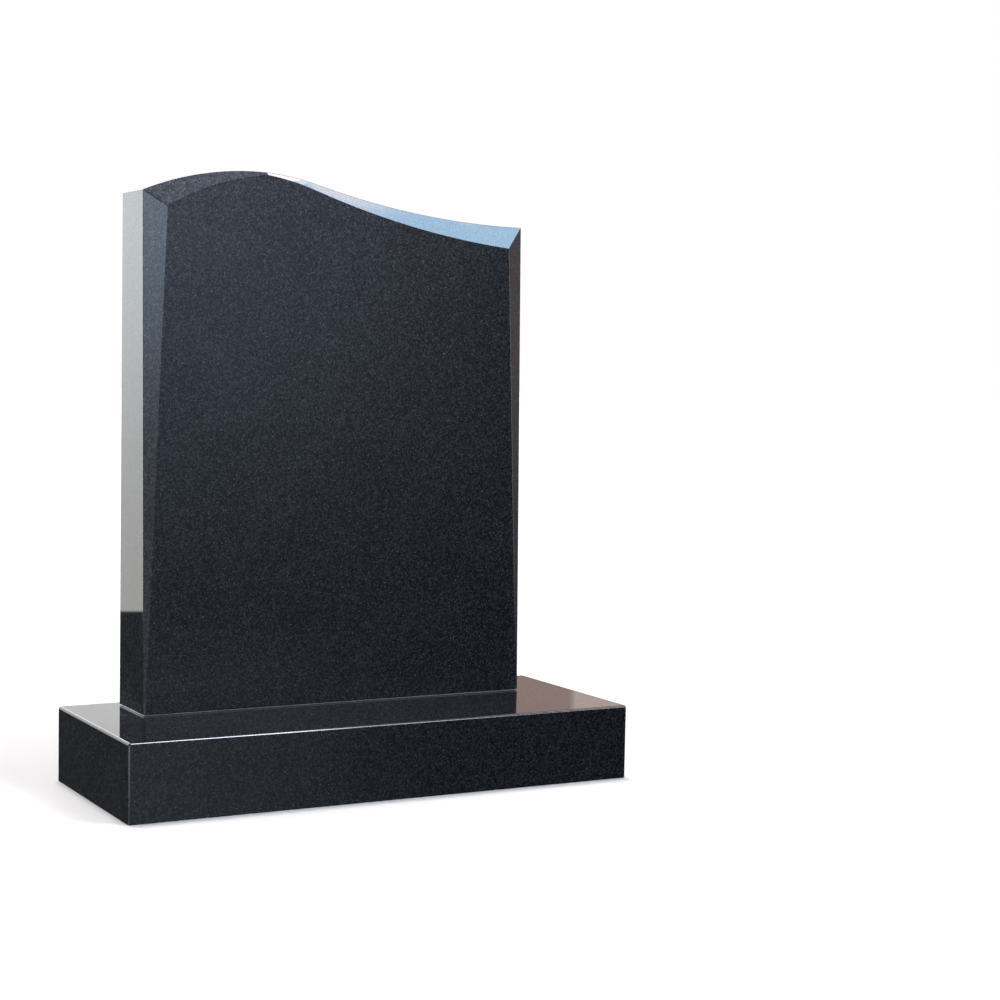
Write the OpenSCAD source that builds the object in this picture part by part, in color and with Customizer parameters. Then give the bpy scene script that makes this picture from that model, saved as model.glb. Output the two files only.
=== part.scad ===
// Upright memorial headstone: an ogee-topped tablet standing on a plain base.
// Millimetres, +Z up, +Y towards the back. The origin is the middle of the
// base's underside, where the stone meets the ground.

/* [Base] */
// Width of the base, side to side
base_w = 762; // [650:1:1000]
// Depth of the base, front to back
base_d = 305; // [170:1:450]
// Height of the base
base_h = 107; // [50:1:200]
// Width of the small flat taken off the base's sharp edges
base_arris = 2.5; // [1:0.5:8]

/* [Tablet] */
// Width of the tablet, side to side
tablet_w = 597; // [500:1:720]
// Thickness of the tablet, front to back
tablet_t = 102; // [50:1:125]
// Height of the tablet from its foot to its crest
tablet_h = 758; // [450:1:1200]
// Strip of base left bare behind the tablet
back_ledge = 25; // [10:1:90]
// Width of the small flat taken off the sharp edges of the tablet's foot
foot_arris = 2; // [1:0.5:4]

/* [Ogee top] */
// How far the left shoulder lies below the crest
left_drop = 32.5; // [20:0.5:60]
// How far the right shoulder lies below the crest
right_drop = 58; // [30:0.5:100]
// Radius of the rounded crest
crest_r = 390; // [250:5:480]

/* [Bevel round the front face] */
// Width of the top bevel at both shoulders
shoulder_bevel = 35.5; // [15:0.5:50]
// Width of the top bevel at its narrowest, by the crest
crest_bevel = 4; // [1:0.5:12]
// How far right of the crest the top bevel is narrowest
narrow_shift = 21; // [0:1:50]
// Width of each side bevel at its shoulder
side_bevel = 31; // [12:0.5:45]
// Width of each side bevel at its foot
foot_bevel = 3; // [1:0.5:10]
// Depth of a bevel for each millimetre of its width
bevel_slope = 0.53; // [0.3:0.01:1]

/* [Hidden] */

// The curves are long and shallow, so their facets are kept short
curve_fn = 720;
// How far a cutting shape runs past what it cuts
spare = 10;

stone_black = [0.11, 0.12, 0.14];
stone_grey = [0.17, 0.18, 0.20];

// Front and back faces of the tablet
tablet_back = base_d / 2 - back_ledge;
tablet_front = tablet_back - tablet_t;

// Shoulder heights above the foot of the tablet
left_h = tablet_h - left_drop;
right_h = tablet_h - right_drop;

// Points on the face are [x, z], and angles are measured from straight up,
// positive to the right. The crest arc starts at the left shoulder.
crest_c = [-tablet_w / 2 + sqrt(2 * crest_r * left_drop - left_drop * left_drop),
           tablet_h - crest_r];
crest_run_x = tablet_w / 2 - crest_c[0];
// The dip arc leaves the crest arc smoothly and runs level into the right shoulder
dip_r = (crest_run_x * crest_run_x + right_drop * right_drop - 2 * crest_r * right_drop)
        / (2 * right_drop);
dip_c = [tablet_w / 2, right_h + dip_r];

// Angles along the two arcs: left shoulder, narrowest bevel, and where the arcs join
left_a = asin((-tablet_w / 2 - crest_c[0]) / crest_r);
narrow_a = asin(narrow_shift / crest_r);
join_a = atan2(dip_c[0] - crest_c[0], dip_c[1] - crest_c[1]);
join = crest_c + crest_r * aim(join_a);

// The bevel widens evenly along the outline, from its narrowest to each shoulder
crest_run = crest_r * (join_a - narrow_a);
dip_run = dip_r * join_a;
join_bevel = crest_bevel + (shoulder_bevel - crest_bevel) * crest_run / (crest_run + dip_run);

// Inner edge of the bevel, left of its narrowest
left_arc = arc_through(
    under_crest(left_a, shoulder_bevel),
    under_crest((left_a + narrow_a) / 2, (shoulder_bevel + crest_bevel) / 2),
    under_crest(narrow_a, crest_bevel));
// Inner edge of the bevel under the dip
dip_arc = arc_through(
    under_dip(0, shoulder_bevel),
    under_dip(join_a / 2, (shoulder_bevel + join_bevel) / 2),
    under_dip(join_a, join_bevel));
// Inner edge between the two, which runs smoothly into the one under the dip
inner_join = under_dip(join_a, join_bevel);
narrow_pt = under_crest(narrow_a, crest_bevel);
inner_down = unit(inner_join - dip_arc[0]);
middle_r = pow(norm(narrow_pt - inner_join), 2) / (2 * (narrow_pt - inner_join) * inner_down);
middle_arc = [inner_join + middle_r * inner_down, middle_r];

// The bevel is cut to a depth where it has run out past the whole outline
cut_w = 1.4 * max(shoulder_bevel, side_bevel);
cut_d = bevel_slope * cut_w;

// Direction at angle a
function aim(a) = [sin(a), cos(a)];
function unit(v) = v / norm(v);
// Points on the face that lie w inside the crest arc and the dip arc
function under_crest(a, w) = crest_c + (crest_r - w) * aim(a);
function under_dip(a, w) = dip_c - (dip_r + w) * aim(a);
// Centre and radius of the circle through three points
function arc_through(p, q, s) =
    let (
        pq = q - p,
        ps = s - p,
        cross = 2 * (pq[0] * ps[1] - pq[1] * ps[0]),
        c = p + [ps[1] * (pq * pq) - pq[1] * (ps * ps),
                 pq[0] * (ps * ps) - ps[0] * (pq * pq)] / cross
    )
    [c, norm(p - c)];

// Stands a flat [x, z] shape up, from y = 0 towards the back
module stand_up(depth) {
    translate([0, depth, 0]) rotate([90, 0, 0]) linear_extrude(depth) children();
}

// The side of a line at angle a through p that lies to its right
module right_of(p, a) {
    reach = 2 * tablet_h;
    translate(p) rotate(-a) translate([0, -reach / 2]) square(reach);
}

// Front view of the tablet
module tablet_outline() {
    difference() {
        union() {
            polygon([[-tablet_w / 2, 0], [tablet_w / 2, 0], [tablet_w / 2, right_h],
                     join, [-tablet_w / 2, left_h]]);
            intersection() {
                translate(crest_c) circle(crest_r, $fn = curve_fn);
                translate([-tablet_w / 2, crest_c[1]]) square([join[0] + tablet_w / 2, crest_r]);
            }
        }
        intersection() {
            translate(dip_c) circle(dip_r, $fn = curve_fn);
            right_of(join, join_a);
        }
    }
}

// Cone about a [x, z] centre with its radius measured on the front face;
// grow is 1 where it opens towards the back and -1 where it closes
module face_cone(arc, grow) {
    lead = spare / bevel_slope;
    translate([arc[0][0], -spare, arc[0][1]]) rotate([-90, 0, 0])
        cylinder(h = spare + cut_d, r1 = arc[1] - grow * lead, r2 = arc[1] + grow * cut_w,
                 $fn = curve_fn);
}

// What the bevel takes off above a rounded stretch, left of the inner join
module rounded_cut(arc) {
    difference() {
        translate([0, -spare, 0]) stand_up(spare + cut_d) difference() {
            translate([-tablet_w / 2 - spare, arc[0][1]])
                square([tablet_w, tablet_h - arc[0][1] + spare]);
            right_of(inner_join, inner_a());
        }
        face_cone(arc, 1);
    }
}

// What the bevel takes off above the hollow stretch, right of the inner join
module hollow_cut() {
    intersection() {
        translate([0, -spare, 0]) stand_up(spare + cut_d) right_of(inner_join, inner_a());
        face_cone(dip_arc, -1);
    }
}

// Angle of the line on which the two inner arcs join
function inner_a() = atan2(-inner_down[0], -inner_down[1]);

// What the left side's bevel takes off: a plane that leans in towards the shoulder
module side_cut(shoulder_h) {
    turn = atan(bevel_slope);
    lean = atan((side_bevel - foot_bevel) * sin(turn) / shoulder_h);
    reach = 2 * tablet_h;
    translate([-tablet_w / 2 + foot_bevel, 0, 0]) rotate([-lean, 0, -turn])
        translate([-reach / 2, -reach, -reach / 2]) cube(reach);
}

// What the small flats take off the four level edges of a block w wide and d deep,
// centred on the origin at the height of those edges
module level_arrises(w, d, arris) {
    reach = 2 * (w + d);
    side = arris * sqrt(2);
    for (way = [-1, 1]) {
        translate([0, way * d / 2, 0]) rotate([45, 0, 0]) cube([reach, side, side], center = true);
        translate([way * w / 2, 0, 0]) rotate([0, 45, 0]) cube([side, reach, side], center = true);
    }
}

// What the small flats take off the four upright edges of the base
module upright_arrises() {
    side = base_arris * sqrt(2);
    for (x = [-base_w / 2, base_w / 2], y = [-base_d / 2, base_d / 2])
        translate([x, y, base_h / 2]) rotate([0, 0, 45]) cube([side, side, 2 * base_h], center = true);
}

module base() {
    color(stone_grey)
    difference() {
        translate([-base_w / 2, -base_d / 2, 0]) cube([base_w, base_d, base_h]);
        translate([0, 0, base_h]) level_arrises(base_w, base_d, base_arris);
        upright_arrises();
    }
}

module tablet() {
    color(stone_black)
    translate([0, tablet_front, base_h])
    difference() {
        stand_up(tablet_t) tablet_outline();
        side_cut(left_h);
        mirror([1, 0, 0]) side_cut(right_h);
        rounded_cut(left_arc);
        rounded_cut(middle_arc);
        hollow_cut();
        translate([0, tablet_t / 2, 0]) level_arrises(tablet_w, tablet_t, foot_arris);
    }
}

base();
tablet();
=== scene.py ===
"""An upright memorial headstone: an ogee-topped tablet of polished black granite on a plain base.

Lengths are in metres, with +Z up and +Y towards the back. The two finished stones stand
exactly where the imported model's plain ones are, and take their overall sizes from them.
"""

import math

import bmesh
import bpy
from mathutils import Matrix, Vector


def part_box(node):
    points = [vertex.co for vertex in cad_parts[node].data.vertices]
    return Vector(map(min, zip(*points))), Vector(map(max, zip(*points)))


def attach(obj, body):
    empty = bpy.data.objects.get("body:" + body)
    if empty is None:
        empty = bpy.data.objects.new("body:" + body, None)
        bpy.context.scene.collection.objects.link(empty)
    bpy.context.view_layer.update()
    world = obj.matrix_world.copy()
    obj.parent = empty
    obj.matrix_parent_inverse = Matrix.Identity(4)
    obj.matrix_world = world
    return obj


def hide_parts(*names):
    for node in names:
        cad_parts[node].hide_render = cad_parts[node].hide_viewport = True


# The ogee top, on the front face
LEFT_DROP = 0.0325
RIGHT_DROP = 0.058
CREST_R = 0.390

# The bevel round the front face, which is narrowest a little right of the crest
SHOULDER_BEVEL = 0.0355
CREST_BEVEL = 0.004
NARROW_SHIFT = 0.021
SIDE_BEVEL = 0.031
FOOT_BEVEL = 0.003
SHOULDER_DEPTH = 0.0175
TOP_SLOPE = SHOULDER_DEPTH / SHOULDER_BEVEL
SIDE_SLOPE = SHOULDER_DEPTH / SIDE_BEVEL

# Small flats on the sharp edges, and the rounding that polishing leaves on every edge
BASE_ARRIS = 0.0025
FOOT_ARRIS = 0.002
POLISHED_EDGE = 0.0007
EDGE_STEPS = 3
SHARP = math.radians(12)

# Longest step between two points of the curved top, and how often a corner's place is halved in on
TOP_STEP = 0.003
CORNER_HALVINGS = 50

# How strongly a big face keeps its own shading beside a rounded edge
FLAT_FACE_WEIGHT = 100

# The tablet's second material, after its polish
JOINTED = 1


class Ogee:
    """The top edge of the tablet, seen from the front as (x, height above its foot).

    One arc runs over the crest and one through the dip, and they meet smoothly. A place on
    it is its run: the distance along the edge, rightwards from where the bevel is narrowest.
    """

    def __init__(self, width, height):
        self.half = width / 2
        crest_x = -self.half + math.sqrt(2 * CREST_R * LEFT_DROP - LEFT_DROP**2)
        reach = self.half - crest_x
        self.shoulders = {-1: height - LEFT_DROP, 1: height - RIGHT_DROP}
        self.dip_r = (reach**2 + RIGHT_DROP**2 - 2 * CREST_R * RIGHT_DROP) / (2 * RIGHT_DROP)
        self.crest = Vector((crest_x, height - CREST_R))
        self.dip = Vector((self.half, self.shoulders[1] + self.dip_r))
        between = self.dip - self.crest
        self.join_a = math.atan2(between.x, between.y)
        self.narrow_a = math.asin(NARROW_SHIFT / CREST_R)
        left_a = math.asin((-self.half - crest_x) / CREST_R)
        self.crest_end = CREST_R * (self.join_a - self.narrow_a)
        self.start = CREST_R * (left_a - self.narrow_a)
        self.end = self.crest_end + self.dip_r * self.join_a

    def at(self, run):
        """The point at a run, the way out of the stone there, and the bevel's width."""
        if run < self.crest_end:
            angle = self.narrow_a + run / CREST_R
            centre, radius = self.crest, CREST_R
        else:
            angle = self.join_a - (run - self.crest_end) / self.dip_r
            centre, radius = self.dip, -self.dip_r
        out = Vector((math.sin(angle), math.cos(angle)))
        share = run / (self.end if run > 0 else self.start)
        return centre + radius * out, out, CREST_BEVEL + (SHOULDER_BEVEL - CREST_BEVEL) * share

    def mitre(self, run):
        """How far in from the edge the top's bevel meets the nearer side's bevel."""
        point, out, width = self.at(run)
        side = 1 if run > 0 else -1
        lean = (SIDE_BEVEL - FOOT_BEVEL) / self.shoulders[side]
        inset = FOOT_BEVEL + lean * point.y - self.half + side * point.x
        narrowing = lean * out.y + side * out.x
        return (SIDE_SLOPE * inset - TOP_SLOPE * width) / (SIDE_SLOPE * narrowing - TOP_SLOPE)

    def corner(self, shoulder):
        """The run whose bevel ends just where both bevels and the face meet."""
        near, far = shoulder, 0.0
        for _ in range(CORNER_HALVINGS):
            middle = (near + far) / 2
            if self.mitre(middle) < self.at(middle)[2]:
                near = middle
            else:
                far = middle
        return near

    def rows(self):
        """(edge point, its depth, inner point, its depth) along the top, and the two corner rows."""
        left_corner, right_corner = self.corner(self.start), self.corner(self.end)
        stops = [self.start, left_corner, 0.0, right_corner, self.end]
        runs, ends = [self.start], []
        for begin, finish in zip(stops, stops[1:]):
            steps = math.ceil((finish - begin) / TOP_STEP)
            runs += [begin + (finish - begin) * (i + 1) / steps for i in range(steps)]
            ends.append(len(runs) - 1)
        rows = []
        for run in runs:
            point, out, width = self.at(run)
            inwards = width if left_corner <= run <= right_corner else self.mitre(run)
            rows.append((point, TOP_SLOPE * width, point - out * inwards, TOP_SLOPE * (width - inwards)))
        to_left_corner, _, to_right_corner, _ = ends
        return rows, to_left_corner, to_right_corner


def make_piece(name, mesh, slot, node, *materials):
    """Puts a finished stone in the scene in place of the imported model's node."""
    piece = bpy.data.objects.new(name, mesh)
    bpy.context.scene.collection.objects.link(piece)
    for material in materials:
        mesh.materials.append(material)
    mesh.shade_smooth()
    rounding = piece.modifiers.new("polished edges", "BEVEL")
    rounding.width = POLISHED_EDGE
    rounding.segments = EDGE_STEPS
    rounding.limit_method = "ANGLE"
    rounding.angle_limit = SHARP
    rounding.use_clamp_overlap = False
    flat_faces = piece.modifiers.new("flat faces", "WEIGHTED_NORMAL")
    flat_faces.weight = FLAT_FACE_WEIGHT
    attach(piece, "root")
    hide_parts(node)
    return piece


def take_off(bm, edges, width):
    """Takes a small 45 degree flat off these edges, and gives back the flats."""
    settings = {"offset_type": "OFFSET", "segments": 1, "affect": "EDGES"}
    return bmesh.ops.bevel(bm, geom=edges, offset=width, **settings)["faces"]


def tablet_mesh():
    """The tablet, with its tapering bevel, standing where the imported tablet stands."""
    low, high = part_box("tablet")
    ogee = Ogee(high.x - low.x, high.z - low.z)
    bm = bmesh.new()

    def corner(point, depth):
        """A corner of the tablet at a point of its front view, this deep behind its face."""
        return bm.verts.new((point[0], low.y + depth, low.z + point[1]))

    rows, left, right = ogee.rows()
    thickness = high.y - low.y
    outer = [corner(point, depth) for point, depth, _, _ in rows]
    back = [corner(point, thickness) for point, _, _, _ in rows]
    inner = [corner(point, depth) for _, _, point, depth in rows[1:-1]]
    inner = [outer[0], *inner, outer[-1]]
    foot = {}
    for side in (-1, 1):
        edge = side * ogee.half
        foot[side] = (
            corner((edge - side * FOOT_BEVEL, 0), 0),
            corner((edge, 0), SIDE_SLOPE * FOOT_BEVEL),
            corner((edge, 0), thickness),
        )

    for a, b in zip(range(len(rows)), range(1, len(rows))):
        strip = [outer[a], outer[b], inner[b], inner[a]]
        bm.faces.new(list(dict.fromkeys(strip)))
        bm.faces.new([outer[a], back[a], back[b], outer[b]])
    for side, mitre in ((-1, inner[: left + 1]), (1, inner[right:][::-1])):
        face_foot, edge_foot, back_foot = foot[side]
        shoulder = -1 if side > 0 else 0
        bm.faces.new([face_foot, edge_foot, *mitre])
        bm.faces.new([edge_foot, back_foot, back[shoulder], outer[shoulder]])
    bm.faces.new([foot[-1][0], *inner[left : right + 1], foot[1][0]])
    bm.faces.new([foot[-1][2], *back, foot[1][2]])
    underside = bm.faces.new([*foot[-1], *foot[1][::-1]])
    bmesh.ops.recalc_face_normals(bm, faces=bm.faces)
    for flat in take_off(bm, list(underside.edges), FOOT_ARRIS):
        flat.material_index = JOINTED

    mesh = bpy.data.meshes.new("tablet_stone")
    bm.to_mesh(mesh)
    bm.free()
    return mesh


def base_mesh():
    """The base: a block with a small flat on its top edges and upright corners."""
    low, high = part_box("base")
    bm = bmesh.new()
    size = high - low
    place = Matrix.Translation((low + high) / 2) @ Matrix.Diagonal((*size, 1))
    bmesh.ops.create_cube(bm, size=1, matrix=place)
    exposed = [e for e in bm.edges if max(v.co.z for v in e.verts) > low.z + size.z / 2]
    take_off(bm, exposed, BASE_ARRIS)
    mesh = bpy.data.meshes.new("base_stone")
    bm.to_mesh(mesh)
    bm.free()
    return mesh


class Wire:
    """A shader socket that takes part in arithmetic like a number."""

    def __init__(self, tree, socket=None):
        self.tree = tree
        self.socket = socket

    def node(self, kind, settings, sockets, output=0):
        """Adds a node, with its settings first and then its sockets' values or wires."""
        made = self.tree.nodes.new(kind)
        for name, value in settings.items():
            setattr(made, name, value)
        for name, value in sockets.items():
            if isinstance(value, Wire):
                self.tree.links.new(value.socket, made.inputs[name])
            else:
                made.inputs[name].default_value = value
        return Wire(self.tree, made.outputs[output]) if made.outputs else made

    def math(self, operation, *values):
        """One Math node on these values or wires."""
        return self.node("ShaderNodeMath", {"operation": operation}, dict(enumerate(values)))

    def __add__(self, other):
        return self.math("ADD", self, other)

    def __sub__(self, other):
        return self.math("SUBTRACT", self, other)

    def __rsub__(self, other):
        return self.math("SUBTRACT", other, self)

    def __mul__(self, other):
        return self.math("MULTIPLY", self, other)

    def __gt__(self, other):
        return self.math("GREATER_THAN", self, other)

    def __lt__(self, other):
        return self.math("LESS_THAN", self, other)

    def __abs__(self):
        return self.math("ABSOLUTE", self)

    __radd__ = __add__
    __rmul__ = __mul__

    def dot(self, direction):
        """Dot product with a fixed direction."""
        settings = {"operation": "DOT_PRODUCT"}
        return self.node("ShaderNodeVectorMath", settings, {0: self, 1: direction}, "Value")

    def between(self, low, high):
        """0 below low and 1 above high, with a smooth rise."""
        settings = {"interpolation_type": "SMOOTHSTEP"}
        sockets = {"Value": self, "From Min": low, "From Max": high}
        return self.node("ShaderNodeMapRange", settings, sockets)

    def blend(self, under, over):
        """Colour under where this is 0 and colour over where it is 1."""
        sockets = {"Factor": self, "A": under, "B": over}
        return self.node("ShaderNodeMix", {"data_type": "RGBA"}, colour_sockets(sockets), 2)


def colour_sockets(sockets):
    """Where a Mix node of colours keeps its factor and its two colours."""
    places = {"Factor": 0, "A": 6, "B": 7}
    return {places[name]: opaque(value) for name, value in sockets.items()}


def opaque(colour):
    """A plain colour with its alpha of 1, or the wire of one as it is."""
    return (*colour, 1) if isinstance(colour, tuple) else colour


# Crystals of the granite: their sizes, and each kind's share in the tone
COARSE_CRYSTAL = 0.0023
FINE_CRYSTAL = 0.0013
COARSE_SHARE = 0.6
FINE_SHARE = 0.4

# Drifting clouds in the tone, and the tones at which a crystal is darkest and palest
CLOUD = 0.09
CLOUD_DETAIL = 3
CLOUD_MIDDLE = 0.5
CLOUD_SHARE = 0.12
DARKEST_TONE = 0.33
PALEST_TONE = 0.80

# Bright flecks: how far apart, how big for that spacing, and how strongly they show
FLECK_SPACING = 0.007
FLECK_REACH = 0.12
FLECK_STRENGTH = 0.7

# Colours of the stone and of the jointing
DARK_CRYSTAL = (0.0024, 0.0026, 0.0029)
PALE_CRYSTAL = (0.029, 0.031, 0.035)
FLECK = (0.10, 0.10, 0.105)
SAWN_STONE = (0.10, 0.105, 0.11)
JOINT_GRAIN = 0.0008
JOINT_SHADE = (0.66, 0.66, 0.65)
JOINT = (0.80, 0.80, 0.79)

# Finishes: the polish, which takes a little better on pale crystals, and the matt ones
MIRROR = {"Coat Roughness": 0.012, "Coat IOR": 1.6}
POLISH = 0.77
PALE_POLISH = 0.06
MATT = {"Roughness": 0.5, "Specular IOR Level": 0.0}
JOINT_FINISH = {"Roughness": 0.8}

# How squarely a face looks down for it to count as the underside
FACING_DOWN = 0.9


class Granite(Wire):
    """Fine-grained black granite, before its finish is chosen."""

    def __init__(self, name):
        self.material = bpy.data.materials.new(name)
        self.material.use_nodes = True
        self.material.node_tree.nodes.clear()
        super().__init__(self.material.node_tree)
        self.place = self.node("ShaderNodeTexCoord", {}, {}, "Object")

    def crystals(self, size):
        """A random number from 0 to 1 for each crystal of about this size."""
        sockets = {"Vector": self.place, "Scale": 1 / size}
        cell = self.node("ShaderNodeTexVoronoi", {"feature": "F1"}, sockets, "Color")
        return cell.dot((1 / 3, 1 / 3, 1 / 3))

    def paleness(self):
        """0 on the dark crystals and 1 on the palest, in drifting clouds."""
        drift = {"Vector": self.place, "Scale": 1 / CLOUD, "Detail": CLOUD_DETAIL}
        cloud = self.node("ShaderNodeTexNoise", {}, drift)
        tone = COARSE_SHARE * self.crystals(COARSE_CRYSTAL) + FINE_SHARE * self.crystals(FINE_CRYSTAL)
        return (tone + CLOUD_SHARE * (cloud - CLOUD_MIDDLE)).between(DARKEST_TONE, PALEST_TONE)

    def flecks(self):
        """1 on the few bright flecks."""
        spots = {"Vector": self.place, "Scale": 1 / FLECK_SPACING}
        reach = self.node("ShaderNodeTexVoronoi", {"feature": "F1"}, spots, "Distance")
        return reach < FLECK_REACH

    def underside(self):
        """1 on faces that look straight down."""
        facing = self.node("ShaderNodeNewGeometry", {}, {}, "Normal")
        return facing.dot((0, 0, -1)) > FACING_DOWN

    def finished(self, colour, finish):
        """The material, with this colour and finish."""
        sockets = {"Base Color": colour, **MATT, **finish}
        surface = self.node("ShaderNodeBsdfPrincipled", {}, sockets)
        self.node("ShaderNodeOutputMaterial", {}, {"Surface": surface})
        return self.material


def polished_granite():
    """Black granite under a mirror polish, with a sawn underside."""
    stone = Granite("polished black granite")
    pale, sawn = stone.paleness(), stone.underside()
    colour = pale.blend(DARK_CRYSTAL, PALE_CRYSTAL)
    colour = (FLECK_STRENGTH * stone.flecks()).blend(colour, FLECK)
    polish = (1 - sawn) * (POLISH + PALE_POLISH * pale)
    return stone.finished(sawn.blend(colour, SAWN_STONE), {"Coat Weight": polish, **MIRROR})


def jointing():
    """Pale jointing compound, which lines the flats round the tablet's foot."""
    joint = Granite("pale jointing")
    grain = joint.crystals(JOINT_GRAIN)
    return joint.finished(grain.blend(JOINT_SHADE, JOINT), JOINT_FINISH)


def heading(azimuth, elevation):
    """The direction at these degrees: azimuth clockwise from the back, seen from above."""
    a, e = math.radians(azimuth), math.radians(elevation)
    return Vector((math.sin(a) * math.cos(e), math.cos(a) * math.cos(e), math.sin(e)))


# Colours of the surroundings, as light: 1 is as bright as the white backdrop
GROUND = (0.055, 0.06, 0.07)
HORIZON = (0.12, 0.14, 0.18)
ZENITH = (0.34, 0.40, 0.50)
WHITE = (1, 1, 1)

# Elevations between which the ground turns into the horizon, and the horizon into the zenith
TO_HORIZON = (-9, 8)
TO_ZENITH = (12, 60)


class Surroundings(Wire):
    """Far-off lights and darks for the polish to reflect, laid one over another.

    Azimuths, elevations and the softness of edges are in degrees.
    """

    def __init__(self, tree):
        super().__init__(tree)
        self.view = self.node("ShaderNodeTexCoord", {}, {}, "Generated")
        self.elevation = self.math("ARCSINE", self.view.dot((0, 0, 1))) * math.degrees(1)
        self.colour = self.elevation.between(*TO_HORIZON).blend(GROUND, HORIZON)
        self.colour = self.elevation.between(*TO_ZENITH).blend(self.colour, ZENITH)

    def within(self, offset, span, soft):
        """1 where a signed offset from the middle of a span lies inside it."""
        half = (span[1] - span[0]) / 2
        return 1 - abs(offset).between(half - soft / 2, half + soft / 2)

    def lay(self, azimuths, elevations, soft, low, high=None, rise=None):
        """Lays a card over the rest, with one colour at its foot and one at its head."""
        middle = sum(azimuths) / 2
        right, ahead = self.view.dot(heading(middle + 90, 0)), self.view.dot(heading(middle, 0))
        turn = self.math("ARCTAN2", right, ahead) * math.degrees(1)
        lift = self.elevation - sum(elevations) / 2
        shown = self.within(turn, azimuths, soft[0]) * self.within(lift, elevations, soft[1])
        colour = self.elevation.between(*(rise or elevations)).blend(low, high or low)
        self.colour = shown.blend(self.colour, colour)


def grey(level):
    """Plain white light at this level."""
    return (level, level, level)


def cards_behind(air):
    """A long low window for the left side, and taller ones for the base's top."""
    air.lay((-50, 8), (-7.22, 6), soft=(2, 0.1), low=(2.0, 2.0, 1.95), high=(3.4, 3.6, 3.7))
    air.lay((-60, -34), (-7, 7), soft=(4, 2), low=grey(8))
    air.lay((8, 25), (6, 14), soft=(3, 2), low=grey(1.55))
    air.lay((-14, 2), (12, 30), soft=(3, 3), low=grey(2.5))
    air.lay((1, 22), (14, 34), soft=(3, 3), low=grey(5.5))
    air.lay((25, 31.6), (4, 15), soft=(0.3, 2), low=(0.71, 0.52, 0.46))
    air.lay((31.6, 42), (4, 15), soft=(0.3, 2), low=(1.17, 0.95, 0.85))


def cards_front_left(air):
    """Light for the left bevel and for the base's near corner."""
    bevel_foot, bevel_head = (0.56, 0.63, 0.76), (2.6, 3.2, 4.0)
    air.lay((-162, -126), (-16, 9), soft=(8, 4), low=bevel_foot, high=bevel_head, rise=(-2.5, 8))
    corner_foot, corner_head = (0.9, 0.95, 1.1), (2.4, 2.5, 2.8)
    air.lay((-124, -100), (-40, -8), soft=(4, 3), low=corner_foot, high=corner_head, rise=(-13, -10.5))


def cards_front(air):
    """A dim card that fades away to the right, with a paler one at its foot for the base."""
    face_foot, face_head = (0.19, 0.24, 0.31), (0.82, 0.94, 1.27)
    air.lay((154, 200), (-18, 12), soft=(15, 6), low=face_foot, high=face_head, rise=(-8, 6))
    air.lay((156.5, 200), (-18, -9), soft=(9, 4), low=(0.39, 0.47, 0.53))


def cards_right(air):
    """Light for the right bevel, and a strip for the upright line along its inner edge."""
    bevel_foot, bevel_head = (0.24, 0.21, 0.20), (0.62, 0.54, 0.58)
    air.lay((70, 106), (-25, 12), soft=(8, 6), low=bevel_foot, high=bevel_head, rise=(-8, 3))
    air.lay((115, 129), (-6, 8), soft=(4, 3), low=(4.0, 4.0, 4.2))


def cards_overhead_left(air):
    """A dim card for the rise to the crest, and a brighter strip for the line along it."""
    air.lay((136, 200), (48, 64), soft=(4, 4), low=(1.2, 1.38, 1.8))
    air.lay((136, 142), (22, 38), soft=(3, 4), low=(10, 10, 12))


def cards_overhead_right(air):
    """A bluish card and three whiter ones for the dip's bevel, and three lamps for its edges."""
    air.lay((118.5, 133), (38, 46.6), soft=(4, 0.8), low=(6.7, 10.1, 13.7))
    air.lay((114, 123.4), (39, 50), soft=(3, 1.5), low=(12.5, 13.2, 15.0))
    air.lay((121, 126.5), (45.0, 46.8), soft=(2, 0.6), low=(14, 14.5, 16.0))
    air.lay((123.5, 139), (46.2, 54.5), soft=(2, 0.6), low=(20, 20, 21))
    air.lay((112.6, 119.5), (58, 68), soft=(5, 4), low=(8, 8, 9.5))
    air.lay((117.1, 120.4), (62, 71), soft=(1.6, 3), low=(46, 46, 53))
    air.lay((103, 108), (52, 60), soft=(1, 3), low=(7, 6.2, 6))


def surroundings():
    """Plain white behind the stone, and soft light cards for its polish to reflect."""
    world = bpy.data.worlds.new("studio")
    bpy.context.scene.world = world
    world.use_nodes = True
    world.node_tree.nodes.clear()
    air = Surroundings(world.node_tree)
    cards_behind(air)
    cards_front_left(air)
    cards_front(air)
    cards_right(air)
    cards_overhead_left(air)
    cards_overhead_right(air)
    seen = air.node("ShaderNodeLightPath", {}, {}, "Is Camera Ray")
    light = air.node("ShaderNodeBackground", {}, {"Color": seen.blend(air.colour, WHITE)})
    air.node("ShaderNodeOutputWorld", {}, {"Surface": light})


def group(name, *members):
    """A set of objects for a light to shine on."""
    lit = bpy.data.collections.new(name)
    for member in members:
        lit.objects.link(member)
    return lit


def light_up(name, kind, settings, source, lit):
    """Adds a light whose local +Z points back along its beam, which shines on one group only."""
    lamp = bpy.data.lights.new(name, kind)
    for setting, value in settings.items():
        setattr(lamp, setting, value)
    light = bpy.data.objects.new(name, lamp)
    bpy.context.scene.collection.objects.link(light)
    light.rotation_euler = source.to_track_quat("Z", "Y").to_euler()
    light.visible_camera = False
    light.visible_glossy = False
    light.light_linking.receiver_collection = lit
    return light


def softbox(name, place, target, size, power, lit):
    """A square softbox aimed at a point, which doesn't show in the polish."""
    source = Vector(place) - Vector(target)
    light = light_up(name, "AREA", {"size": size, "energy": power}, source, lit)
    light.location = place


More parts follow.
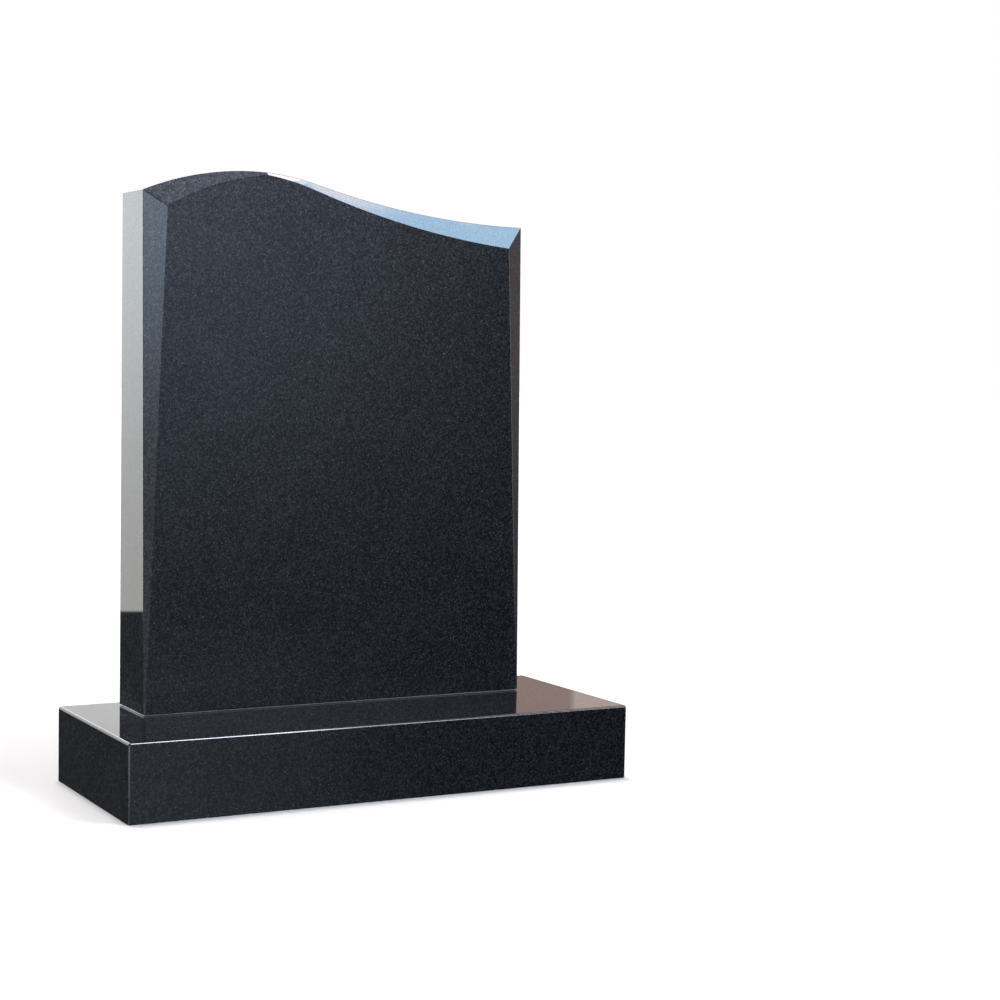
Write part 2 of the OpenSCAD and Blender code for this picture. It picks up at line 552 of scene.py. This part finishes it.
def softboxes(lit):
    """Three softboxes, which bring out the speckle of the stone."""
    softbox("front_softbox", place=(-0.1, -0.5, 1.45), target=(0, 0, 0.7), size=0.4, power=10, lit=lit)
    softbox("left_softbox", place=(-1.0, -0.12, 1.45), target=(-0.3, 0.05, 0.7), size=0.3, power=18, lit=lit)
    near_ground, base_side = (-1.6, 0.05, 0.25), (-0.3, 0.05, 0.1)
    softbox("low_left_softbox", place=near_ground, target=base_side, size=0.3, power=4, lit=lit)


def foot_strip(lit):
    """A narrow strip lamp close to the left end of the tablet's foot, for the pale joint."""
    strip = {"shape": "RECTANGLE", "size": 0.09, "size_y": 0.006, "energy": 0.017}
    light = light_up("foot_strip", "AREA", strip, heading(-90, 3), lit)
    light.location = (-0.325, 0.085, 0.1115)


def overhead_light(lit):
    """A broad high light from just behind, which lays the soft shadow on the floor."""
    overhead = {"energy": 2.55, "angle": math.radians(17)}
    light_up("overhead_light", "SUN", overhead, heading(0, 81), lit)


# The floor, which runs out of sight all round
FLOOR_REACH = 30
FLOOR_COLOUR = (0.77, 0.73, 0.69)


def pale_floor():
    """A plain pale floor, which casts no light on the stone."""
    mesh = bpy.data.meshes.new("floor")
    turns = [(-1, -1), (1, -1), (1, 1), (-1, 1)]
    corners = [(x * FLOOR_REACH, y * FLOOR_REACH, 0) for x, y in turns]
    mesh.from_pydata(corners, [], [(0, 1, 2, 3)])
    floor = bpy.data.objects.new("floor", mesh)
    bpy.context.scene.collection.objects.link(floor)
    material = bpy.data.materials.new("pale floor")
    material.use_nodes = True
    material.node_tree.nodes.clear()
    paint = Wire(material.node_tree)
    matt = paint.node("ShaderNodeBsdfDiffuse", {}, {"Color": opaque(FLOOR_COLOUR)})
    paint.node("ShaderNodeOutputMaterial", {}, {"Surface": matt})
    mesh.materials.append(material)
    floor.visible_glossy = False
    floor.visible_diffuse = False
    return floor


# The camera: lens and film in millimetres, angles in degrees
EYE = (-1.231, -2.6175, 0.609)
EYE_AZIMUTH = 28.08
EYE_PITCH = -4.0
EYE_ROLL = 1.0
FOCAL_LENGTH = 72.8
FILM_WIDTH = 36
SIDE_SHIFT = 0.0483
FARTHEST_SEEN = 200


def camera():
    """A long lens from the front left, a little above the middle of the stone."""
    lens = bpy.data.cameras.new("camera")
    lens.lens = FOCAL_LENGTH
    lens.sensor_width = FILM_WIDTH
    lens.shift_x = SIDE_SHIFT
    lens.clip_end = FARTHEST_SEEN
    eye = bpy.data.objects.new("camera", lens)
    bpy.context.scene.collection.objects.link(eye)
    ahead, right = heading(EYE_AZIMUTH, EYE_PITCH), heading(EYE_AZIMUTH + 90, 0)
    level = Matrix((right, right.cross(ahead), -ahead)).transposed()
    turn = level @ Matrix.Rotation(math.radians(EYE_ROLL), 3, "Z")
    eye.matrix_world = Matrix.Translation(EYE) @ turn.to_4x4()
    bpy.context.scene.camera = eye


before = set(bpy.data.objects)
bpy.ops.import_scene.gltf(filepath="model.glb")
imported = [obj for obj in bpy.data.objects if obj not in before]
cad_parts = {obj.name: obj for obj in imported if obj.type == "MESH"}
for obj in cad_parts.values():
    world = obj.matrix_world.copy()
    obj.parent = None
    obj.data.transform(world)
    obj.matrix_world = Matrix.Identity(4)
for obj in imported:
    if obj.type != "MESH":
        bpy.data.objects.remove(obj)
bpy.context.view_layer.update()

granite = polished_granite()
stones = group(
    "stones",
    make_piece("base_stone", base_mesh(), "base_granite", "base", granite),
    make_piece("tablet_stone", tablet_mesh(), "tablet_granite", "tablet", granite, jointing()),
)
ground = group("ground", pale_floor())
surroundings()
softboxes(stones)
foot_strip(stones)
overhead_light(ground)
camera()
bpy.context.scene.view_settings.view_transform = "Standard"
